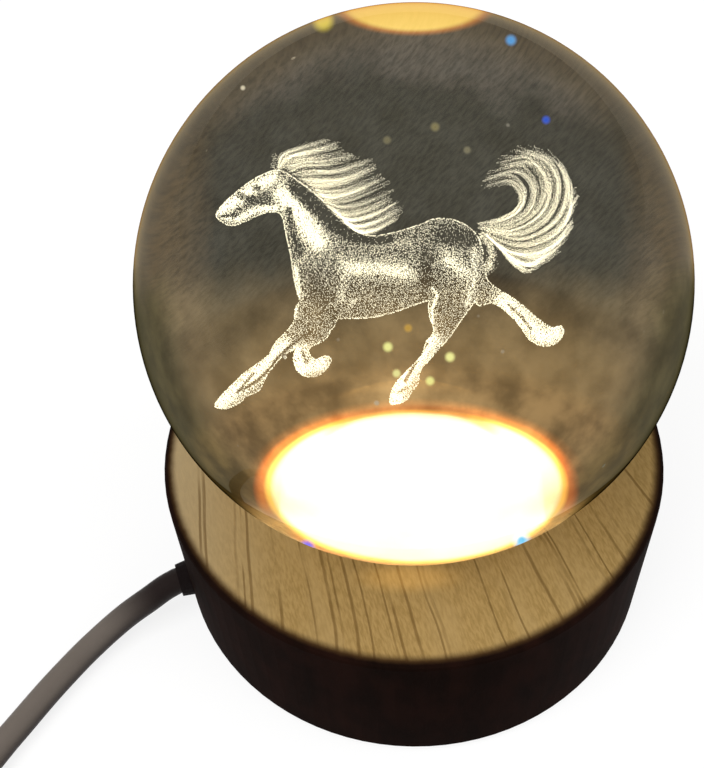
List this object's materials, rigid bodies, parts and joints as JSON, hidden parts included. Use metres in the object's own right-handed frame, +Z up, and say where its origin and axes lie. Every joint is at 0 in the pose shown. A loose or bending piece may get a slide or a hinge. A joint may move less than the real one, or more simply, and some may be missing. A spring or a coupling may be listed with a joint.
{
  "type": "crystal ball lamp",
  "caption": "Engraved solid glass ball resting on a round wooden base that lights it from below, with a thin lead, inline push switch and plug.",
  "frame": {"origin": "on the table, at the centre of the round base", "axes": "+Z up through the centre of the ball; -Y towards the viewer; the lead leaves the base on the -X side"},
  "size_m": [0.1108, 0.1245, 0.0796],
  "materials": {
    "crystal_glass": "polished, clear optical glass with fine inner specks",
    "oak_wood": "satin, open grain on the top face, dark stained on the side",
    "frosted_acrylic": "frosted, translucent, lit from below",
    "board_white": "white solder mask",
    "led_phosphor": "yellow phosphor in a white rim",
    "component_black": "matt",
    "solder": "bright",
    "red_insulation": "satin",
    "black_insulation": "satin",
    "steel": "nickel plated",
    "gold_plating": "plated",
    "cover_plastic": "matt",
    "foot_rubber": "matt",
    "relief_rubber": "matt",
    "cord_sheath": "satin",
    "nylon": "natural",
    "strap_webbing": "woven",
    "switch_plastic": "fine spark texture",
    "button_plastic": "satin"
  },
  "bodies": {
    "base": {"wooden_base": "oak_wood", "light_window": "frosted_acrylic", "led_board": "board_white", "led_1": "led_phosphor", "led_2": "led_phosphor", "led_3": "led_phosphor", "led_4": "led_phosphor", "led_5": "led_phosphor", "led_6": "led_phosphor", "resistor_1": "component_black", "resistor_2": "component_black", "solder_positive": "solder", "solder_negative": "solder", "lead_positive": "red_insulation", "lead_negative": "black_insulation", "board_screw_1": "steel", "board_screw_2": "steel", "board_screw_3": "steel", "bottom_cover": "cover_plastic", "cover_screw_1": "steel", "cover_screw_2": "steel", "cover_screw_3": "steel", "foot_1": "foot_rubber", "foot_2": "foot_rubber", "foot_3": "foot_rubber", "foot_4": "foot_rubber", "strain_relief": "relief_rubber", "cord_tail": "cord_sheath", "cable_tie": "nylon", "power_cord": "cord_sheath", "cord_coil": "cord_sheath", "coil_strap": "strap_webbing", "cord_to_switch": "cord_sheath", "cord_to_plug": "cord_sheath", "switch_lower_shell": "switch_plastic", "switch_upper_shell": "switch_plastic", "switch_module": "component_black", "switch_screw_1": "steel", "switch_screw_2": "steel", "plug_body": "switch_plastic", "plug_sleeve": "steel", "plug_tongue": "component_black", "plug_contact_1": "gold_plating", "plug_contact_2": "gold_plating", "plug_contact_3": "gold_plating", "plug_contact_4": "gold_plating"},
    "ball": {"crystal_ball": "crystal_glass"},
    "button": {"switch_button": "button_plastic"}
  },
  "joints": [
    {"name": "ball_lift", "type": "slide", "parent": "base", "child": "ball", "axis": [0, 0, 1], "range_m": [0, 0.05]},
    {"name": "button_press", "type": "slide", "parent": "base", "child": "button", "axis": [0, 0, -1], "range_m": [0, 0.0015], "stiffness_N_per_m": 200}
  ]
}
